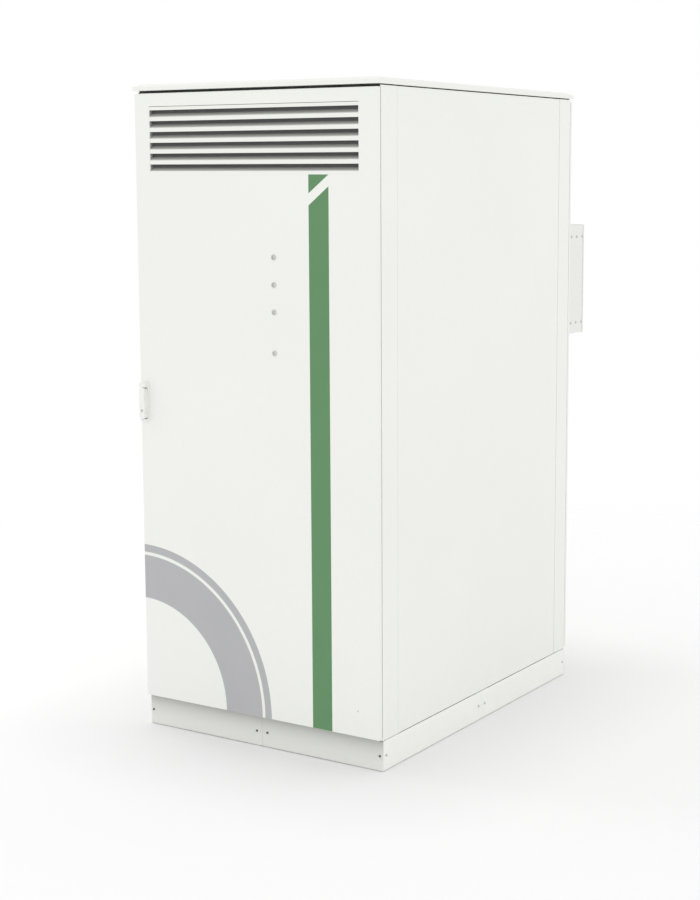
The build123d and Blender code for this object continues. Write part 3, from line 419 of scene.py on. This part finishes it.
cover_screw_shaded_steel = cover_screw_front_shade_steel("cover_screw_front_shade_steel", low[1] + 0.008)
for s in NODES["cover_screws"].material_slots:
    s.material = cover_screw_shaded_steel
# body_seals holds the gaskets and also the dark strip on the front header above the door, which stands in for the
# shade in the gap under the roof
seal_rubber = rubber("grey_seal_rubber_and_shade_strip", (0.055, 0.055, 0.056))
for s in NODES["body_seals"].material_slots:
    s.material = seal_rubber
casing = powder("unit_casing_coat", srgb(234, 235, 230), 0.46)
for s in NODES["ac_casing"].material_slots:
    s.material = casing

low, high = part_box("louvre")
# the louvre coat carries painted shade that deepens from the door face to the back of the blades
slats_painted_shade = louvre_painted_shade("louvre_painted_shade_coat", WHITE, low[1] + 0.0021, high[1])
for s in NODES["louvre"].material_slots:
    s.material = slats_painted_shade


# ---------------------------------------------------------------- softened edges on the sheet and moulded parts
def soften(node, width, segments=2, angle=30.0):
    """Rolled edges: the edge radius of bent sheet or moulded plastic."""
    obj = NODES[node]
    weld = obj.modifiers.new("join", "WELD")
    weld.merge_threshold = 0.00002
    bevel = obj.modifiers.new("edges", "BEVEL")
    bevel.width = width
    bevel.segments = segments
    bevel.limit_method = "ANGLE"
    bevel.angle_limit = math.radians(angle)
    bevel.miter_outer = "MITER_ARC"
    bevel.use_clamp_overlap = True
    normals = obj.modifiers.new("normals", "WEIGHTED_NORMAL")
    normals.weight = 50
    normals.keep_sharp = False


for node, width in (
    ("louvre", 0.0004), ("handle_base", 0.0012), ("handle_grip", 0.0016), ("door_bezels_and_plug", 0.0004), ("push_button", 0.0006),
    ("cover_screws", 0.0005), ("isolator_knob", 0.001), ("controller_and_terminals", 0.0006),
):
    soften(node, width)


# ---------------------------------------------------------------- helpers for new pieces
def piece(name, bm, material, body, smooth=False):
    me = bpy.data.meshes.new(name)
    bmesh.ops.recalc_face_normals(bm, faces=bm.faces)
    bm.to_mesh(me)
    bm.free()
    obj = bpy.data.objects.new(name, me)
    scene.collection.objects.link(obj)
    obj.data.materials.append(material)
    if smooth:
        for p in me.polygons:
            p.use_smooth = True
    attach(obj, body)
    return obj


def slab(bm, outline, y_front, y_back):
    """A flat closed piece from an outline in X and Z, standing between two planes of Y."""
    front = [bm.verts.new((x, y_front, z)) for x, z in outline]
    back = [bm.verts.new((x, y_back, z)) for x, z in outline]
    bm.faces.new(front)
    bm.faces.new(list(reversed(back)))
    n = len(outline)
    for i in range(n):
        bm.faces.new((front[i], back[i], back[(i + 1) % n], front[(i + 1) % n]))


lo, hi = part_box("door_skin")
DOOR_FRONT = lo[1]
DOOR_LEFT, DOOR_RIGHT, DOOR_LOW, DOOR_TOP = lo[0], hi[0], lo[2], hi[2]
FILM = 0.00018

# green stripe with its slanting gap
green = vinyl("stripe_film", srgb(92, 139, 94))
X0, X1 = 0.2305, 0.3095
bm = bmesh.new()
slab(bm, [(X0, DOOR_LOW + 0.0012), (X1, DOOR_LOW + 0.0012), (X1, 1.9388), (X0, 1.8766)], DOOR_FRONT - FILM, DOOR_FRONT + 0.00002)
slab(bm, [(X0, 1.9157), (X1, 1.9765), (X0, 1.9765)], DOOR_FRONT - FILM, DOOR_FRONT + 0.00002)
piece("stripe_film", bm, green, "door")

# quarter rings at the lower left corner of the door
grey = vinyl("ring_film", srgb(179, 179, 181))
CX, CZ = DOOR_LEFT, DOOR_LOW


def ring_outline(r0, r1, steps=72):
    """Quarter ring, cut off where the door ends."""
    a = []
    lift = 0.0012
    for r, order in ((r1, range(steps + 1)), (r0, range(steps, -1, -1))):
        lo_a = math.asin(lift / r)
        hi_a = math.acos(lift / r)
        for i in order:
            t = lo_a + (hi_a - lo_a) * i / steps
            a.append((CX + r * math.cos(t), CZ + r * math.sin(t)))
    return a


for label, r0, r1 in (("ring_film_wide", 0.361, 0.517), ("ring_film_thin", 0.529, 0.556)):
    bm = bmesh.new()
    outline = ring_outline(r0, r1)
    n = len(outline) // 2
    outer, inner = outline[:n], list(reversed(outline[n:]))
    for y in (DOOR_FRONT - FILM, DOOR_FRONT + 0.00002):
        vo = [bm.verts.new((x, y, z)) for x, z in outer]
        vi = [bm.verts.new((x, y, z)) for x, z in inner]
        for i in range(n - 1):
            bm.faces.new((vo[i], vo[i + 1], vi[i + 1], vi[i]))
    bm.verts.ensure_lookup_table()
    count = len(bm.verts) // 2
    for i in range(n - 1):
        bm.faces.new((bm.verts[i], bm.verts[i + count], bm.verts[i + 1 + count], bm.verts[i + 1]))
        bm.faces.new((bm.verts[n + i], bm.verts[n + i + 1], bm.verts[n + i + 1 + count], bm.verts[n + i + count]))
    for i in (0, n - 1):
        bm.faces.new((bm.verts[i], bm.verts[n + i], bm.verts[n + i + count], bm.verts[i + count]))
    piece(label, bm, grey, "door")


# ---------------------------------------------------------------- stage, light, camera
bm = bmesh.new()
bmesh.ops.create_circle(bm, cap_ends=True, segments=96, radius=9.0)
me = bpy.data.meshes.new("floor")
bm.to_mesh(me)
bm.free()
floor = bpy.data.objects.new("floor", me)
floor.location = (0, 0, -0.0005)
scene.collection.objects.link(floor)
fm = Mat("floor_painted_shadow")
fcol = fm.mix(fm.span(fm.noise(0.8, 3.0, 0.5), 0.3, 0.7), (0.868, 0.868, 0.870), (0.882, 0.882, 0.884))
off_x = fm.math("MAXIMUM", fm.math("SUBTRACT", fm.math("ABSOLUTE", fm.axis("X")), 0.5), 0.0)
off_y = fm.math("MAXIMUM", fm.math("SUBTRACT", fm.math("ABSOLUTE", fm.axis("Y")), 0.667), 0.0)
away = fm.math("SQRT", fm.math("ADD", fm.math("MULTIPLY", off_x, off_x), fm.math("MULTIPLY", off_y, off_y)))
# painted shadow: the floor is darker within about 0.6 m of the cabinet's footprint and brightens outwards
fcol = fm.mix(fm.span(away, 0.05, 0.60), fcol, (0.955, 0.955, 0.957))
fm.finish(fcol, 0.9, Specular_IOR_Level=0.1)
reach = fm.node("ShaderNodeVectorMath", operation="LENGTH")
fm.link(fm.coord, reach.inputs[0])
fade = fm.node("ShaderNodeMixShader")
clear = fm.node("ShaderNodeBsdfTransparent")
fm.link(fm.span(reach.outputs["Value"], 1.6, 4.6), fade.inputs[0])
fm.link(fm.bsdf.outputs[0], fade.inputs[1])
fm.link(clear.outputs[0], fade.inputs[2])
fm.link(fade.outputs[0], fm.out.inputs["Surface"])
floor.data.materials.append(fm.mat)
floor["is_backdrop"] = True

world = bpy.data.worlds.new("studio")
scene.world = world
world.use_nodes = True
world.node_tree.nodes["Background"].inputs[0].default_value = (1, 1, 1, 1)
world.node_tree.nodes["Background"].inputs[1].default_value = 1.0


def area(name, place, target, size, power, color=(1, 1, 1)):
    light = bpy.data.lights.new(name, "AREA")
    light.shape = "RECTANGLE"
    light.size, light.size_y = size
    light.energy = power
    light.color = color
    obj = bpy.data.objects.new(name, light)
    obj.location = place
    obj.rotation_euler = (Vector(target) - Vector(place)).to_track_quat("-Z", "Y").to_euler()
    scene.collection.objects.link(obj)
    return obj


area("key", (-4.4, -1.0, 4.6), (0, 0, 1.0), (2.4, 2.4), 30)

cam_data = bpy.data.cameras.new("camera")
cam = bpy.data.objects.new("camera", cam_data)
scene.collection.objects.link(cam)
scene.camera = cam
cam_data.sensor_fit = "AUTO"
cam_data.sensor_width = 36.0
cam_data.lens = 1717.82 * 36.0 / 900.0
cam_data.shift_x = (350.0 - 415.96) / 900.0
cam_data.shift_y = (416.91 - 450.0) / 900.0
cam_data.clip_end = 200.0
rx, ry, rz = 0.1402, -0.0002, -0.5514
Rz = Matrix(((math.cos(rz), -math.sin(rz), 0), (math.sin(rz), math.cos(rz), 0), (0, 0, 1)))
Rx = Matrix(((1, 0, 0), (0, math.cos(rx), -math.sin(rx)), (0, math.sin(rx), math.cos(rx))))
Ry = Matrix(((math.cos(ry), 0, math.sin(ry)), (0, 1, 0), (-math.sin(ry), 0, math.cos(ry))))
R = Ry @ Rx @ Rz
right, forward, up = Vector(R[0]), Vector(R[1]), Vector(R[2])
m = Matrix((right, up, -forward)).transposed().to_4x4()
m.translation = Vector((3.4832, -5.3081, 1.9764))
cam.matrix_world = m

scene.view_settings.view_transform = "Standard"
scene.view_settings.look = "None"

low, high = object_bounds()
